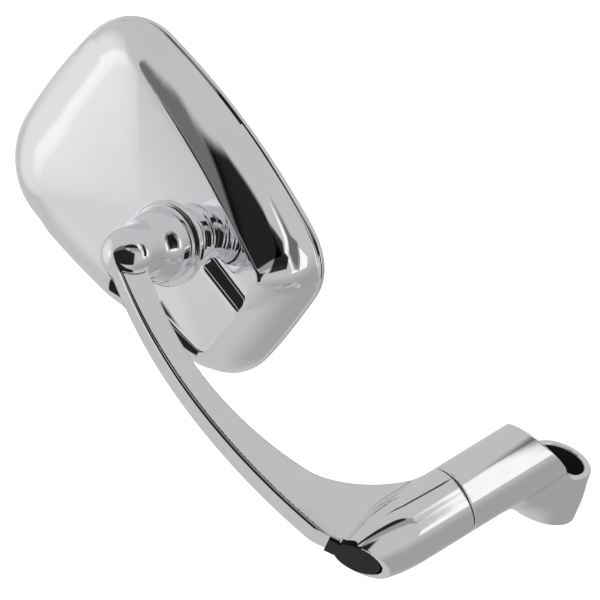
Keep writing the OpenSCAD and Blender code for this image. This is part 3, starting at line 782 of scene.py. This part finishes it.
def neck_profile():
    front = ball_line(FRONT_R, FRONT_OPEN, math.asin(NECK_R / FRONT_R))
    walls = []
    for start, end in GROOVES:
        walls += [(NECK_R, start), (NECK_R - GROOVE_DEPTH, start + GROOVE_FLANK)]
        walls += [(NECK_R - GROOVE_DEPTH, end - GROOVE_FLANK), (NECK_R, end)]
    spigot = NECK_R - SPIGOT_STEP
    end = NECK_END - BALL_AT
    walls += [(NECK_R, end), (spigot, end), (spigot, end + SPIGOT_LEN), (SEAT_R, end + SPIGOT_LEN)]
    inner = ball_line(SEAT_R, math.pi / 2, FRONT_OPEN)
    return front + rounded([front[-1], *walls, inner[0]], NECK_EDGE)[1:-1] + inner + [front[0]]


BALL = BOSS @ Matrix.Translation((0, 0, BALL_AT))
neck = turned("neck", neck_profile(), BALL, capped=False)
finish(neck, "neck_sleeve", "head", chrome, angle=50)


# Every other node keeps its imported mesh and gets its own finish

for slot, (look, names) in SLOTS.items():
    for name in names:
        item = frame["nodes"][name]
        item.data.materials.clear()
        item.data.materials.append(look)


# Camera at the photograph's direction, on a long lens. MIDDLE is the place in the picture's middle and FIELD
# the width that the picture shows there, in metres.

RIGHT = Vector((-0.613, -0.717, 0.331)).normalized()
BACK = RIGHT.cross(Vector((0.578, -0.124, 0.805))).normalized()
UP = BACK.cross(RIGHT)
MIDDLE, FIELD, DISTANCE, SENSOR = Vector((0.0915, 0.0607, 0.0360)), 0.2182, 6.0, 36.0
CAMERA_REACH = 100
bpy.ops.object.camera_add(location=MIDDLE + DISTANCE * BACK)
camera = bpy.context.object
camera.data.sensor_width = SENSOR
camera.data.lens = SENSOR * DISTANCE / FIELD
camera.data.clip_end = CAMERA_REACH
camera.rotation_euler = Matrix((RIGHT, UP, BACK)).transposed().to_euler()
bpy.context.scene.camera = camera
bpy.context.scene.view_settings.view_transform = "Standard"


# Studio: pale floor, a bright room, and the cards that the chrome shows. Only reflections see the cards.
# A card's outline is in millimetres, square to the camera's view, and its distance is towards the camera.

STUDIO = place(MIDDLE, RIGHT, UP, BACK)
FLOOR_Z, FLOOR_R = -0.17, 12.0


def moved_out(outline_points, by):
    """Outline with each side moved out."""
    points = [Vector(p) for p in outline_points]
    out = []
    for before, here, after in zip(points[-1:] + points[:-1], points, points[1:] + points[:1]):
        a, b = (here - before).normalized(), (after - here).normalized()
        normal_a, normal_b = Vector((a.y, -a.x)), Vector((b.y, -b.x))
        out.append(here + by * (normal_a + normal_b) / (1 + normal_a.dot(normal_b)))
    return out


def card(name, outline_points, distance, soft, share, light=0.0, matrix=STUDIO):
    """Card whose edge fades over soft to each side. share is how much it hides, light how bright it is."""
    outer, inner = moved_out(outline_points, soft), moved_out(outline_points, -soft)
    count = len(outer)
    mesh = bpy.data.meshes.new(name)
    faces = [(k, (k + 1) % count, (k + 1) % count + count, k + count) for k in range(count)]
    faces.append(tuple(range(count, 2 * count)))
    mesh.from_pydata([(p.x, p.y, distance) for p in outer + inner], [], faces)
    edge = mesh.attributes.new("edge", "FLOAT", "POINT")
    edge.data.foreach_set("value", [0.0] * count + [1.0] * count)
    mesh.transform(matrix)
    piece = bpy.data.objects.new(name, mesh)
    bpy.context.scene.collection.objects.link(piece)
    piece.visible_camera = piece.visible_diffuse = piece.visible_shadow = False
    look = bpy.data.materials.new(name + "_cloth")
    look.use_nodes = True
    tree = look.node_tree
    tree.nodes.clear()
    fade = node(tree, "ShaderNodeAttribute", {"attribute_name": "edge"})
    soft_fade = node(tree, "ShaderNodeMapRange", {"interpolation_type": "SMOOTHSTEP", "To Max": share},
                     {"Value": fade.outputs["Fac"]})
    clear = node(tree, "ShaderNodeBsdfTransparent")
    glow = node(tree, "ShaderNodeEmission", {"Strength": light})
    mix = node(tree, "ShaderNodeMixShader", {},
               {0: soft_fade.outputs[0], 1: clear.outputs[0], 2: glow.outputs[0]})
    node(tree, "ShaderNodeOutputMaterial", {}, {0: mix.outputs[0]})
    mesh.materials.append(look)


BLACK, GREY, PALE = 0.97, 0.72, 0.42

# Softbox on the right, with a notch in its upper side
card("softbox",
     [(455, 770), (475, 420), (640, 220), (900, -100), (980, -308), (4200, -308), (4200, 770), (1250, 770),
      (1250, -60), (920, 150), (660, 430), (600, 770)], 700, 12, 1.0, 1.1)

# Black shapes that the head's recess and its wedge show
card("dark_doorway", [(-700, 120), (-600, -230), (35, -230), (45, 40), (-150, 130)], 300, 14, BLACK)
card("black_card",
     [(-160, 160), (-20, 154), (150, 165), (150, 200), (110, 240), (60, 268), (-60, 262), (-160, 225)],
     302, 11, BLACK)

# Softer tones: these hide only a part of the room behind them
card("soft_card",
     [(-60, 78), (190, 78), (268, 40), (268, 100), (225, 150), (160, 182), (-60, 165)], 306, 12, PALE)
card("shaded_card", [(-650, 120), (-130, 120), (-130, 235), (-300, 250), (-650, 190)], 304, 26, GREY)
card("grey_card", [(240, -20), (380, -60), (330, 240), (140, 240), (140, 105), (175, 60)], 160, 18, GREY)

# Small card close to the boss, for the bell's dark band
card("bell_card", [(8, 8), (55, 8), (55, 45), (36, 58), (30, 80), (8, 80)], 62, 2.5, 0.95)

# Two dark strips under the head. The recess's long wall, at WALL_AT, shows them with a thin bright gap.
# Each lies between two angles, in degrees, turned about the head's long axis from BACK_RAY.
WALL_AT = Vector((0.127, 0.067, 0.023))
BACK_RAY = Vector((0.42, 0.86, -0.28)).normalized()
STRIP_AWAY, STRIP_FROM, STRIP_TO, STRIP_SOFT = 70, -42, -2, 1
for name, start, end in (("strip_near", 32, 44), ("strip_far", 48.5, 66)):
    middle = Matrix.Rotation(math.radians(-(start + end) / 2), 3, head_x) @ BACK_RAY
    across = (middle - middle.dot(head_x) * head_x).normalized()
    up = across.cross(head_x)
    half = STRIP_AWAY * math.radians((end - start) / 2)
    strip = place(WALL_AT + STRIP_AWAY * MM * middle, head_x, up, -across)
    corners = [(STRIP_FROM, -half), (STRIP_TO, -half), (STRIP_TO, half), (STRIP_FROM, half)]
    card(name, corners, 0, STRIP_SOFT, BLACK, matrix=strip)

# Floor: matt white paper that glows a little for the camera, so that it melts into the white background
PAPER_GLOW = 0.45
bpy.ops.mesh.primitive_circle_add(vertices=96, radius=FLOOR_R, fill_type="NGON", location=(0, 0, FLOOR_Z))
floor = bpy.context.object
floor.name = "floor"
floor.visible_glossy = False
paper, shader = plain_material("white_paper", "#F2F2F2", 0.0, 0.9)
tree = paper.node_tree
seen = node(tree, "ShaderNodeLightPath")
shader.inputs["Emission Color"].default_value = (1, 1, 1, 1)
glow = node(tree, "ShaderNodeMath", {"operation": "MULTIPLY", 1: PAPER_GLOW},
            {0: seen.outputs["Is Camera Ray"]})
tree.links.new(glow.outputs[0], shader.inputs["Emission Strength"])
floor.data.materials.append(paper)

# World: an even bright room, brighter towards two windows and darker towards a table at the lower right.
# The camera itself sees white.
ROOM_LEVEL = 0.60
world = bpy.data.worlds.new("studio")
bpy.context.scene.world = world
world.use_nodes = True
tree = world.node_tree
room = tree.nodes["Background"]


def toward(direction, start, end, amount):
    """Light that grows with the share of a ray that points in a direction."""
    way = Vector(direction).normalized()
    part = node(tree, "ShaderNodeVectorMath", {"operation": "DOT_PRODUCT", 1: way},
                {0: ray.outputs["Generated"]})
    return node(tree, "ShaderNodeMapRange",
                {"interpolation_type": "SMOOTHSTEP", "From Min": start, "From Max": end, "To Max": amount},
                {"Value": part.outputs["Value"]})


ray = node(tree, "ShaderNodeTexCoord")
below = toward(-0.806 * UP - 0.587 * BACK, -0.25, 0.35, 0.20)
table = join(tree, "MULTIPLY", below, toward(RIGHT, -0.2, 0.5, 1.0))
wide_window = toward((0.80, 0.50, -0.33), 0.80, 0.99, 0.26)
small_window = toward((0.60, 0.76, -0.25), 0.975, 0.999, 0.22)
bright = join(tree, "SUBTRACT", join(tree, "ADD", wide_window, small_window), table)
level = node(tree, "ShaderNodeMath", {"operation": "ADD", 1: ROOM_LEVEL}, {0: bright.outputs[0]})
seen = node(tree, "ShaderNodeLightPath")
backdrop = node(tree, "ShaderNodeMath", {"operation": "MAXIMUM"},
                {0: level.outputs[0], 1: seen.outputs["Is Camera Ray"]})
tree.links.new(backdrop.outputs[0], room.inputs["Strength"])
room.inputs["Color"].default_value = (1, 1, 1, 1)

# One soft lamp overhead for what isn't chrome. Reflections don't see it.
LAMP_AT, LAMP_SIZE, LAMP_POWER = (0.4, 0.2, 1.6), 1.2, 14
bpy.ops.object.light_add(type="AREA", location=LAMP_AT)
lamp = bpy.context.object
lamp.data.size = LAMP_SIZE
lamp.data.energy = LAMP_POWER
lamp.visible_glossy = lamp.visible_camera = False
lamp.rotation_euler = (Vector(lamp.location) - MIDDLE).to_track_quat("Z", "Y").to_euler()
